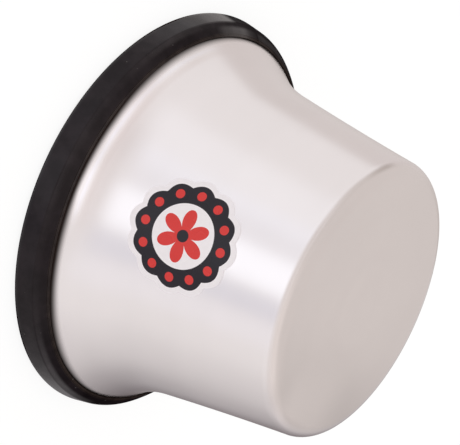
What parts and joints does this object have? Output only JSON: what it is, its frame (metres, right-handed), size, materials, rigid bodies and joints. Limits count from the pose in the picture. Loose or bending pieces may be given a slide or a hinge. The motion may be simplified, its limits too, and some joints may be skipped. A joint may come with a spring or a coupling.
{
  "type": "plunger mute",
  "caption": "Spun aluminium cup with a flat closed end, tapered wall and flared mouth, edged with black rubber trim, held by hand over a brass instrument's bell.",
  "frame": {"origin": "centre of the mouth, in the plane that the trim rests on", "axes": "+Z along the cup's axis from the mouth to the closed end; -Y towards the label"},
  "size_m": [0.15, 0.15, 0.0905],
  "materials": {
    "aluminium": "spun, satin polished",
    "rubber": "moulded, satin black",
    "label": "printed vinyl"
  },
  "bodies": {
    "root": {"cup_shell": "aluminium", "rim_trim": "rubber", "wall_label": "label"}
  },
  "joints": []
}
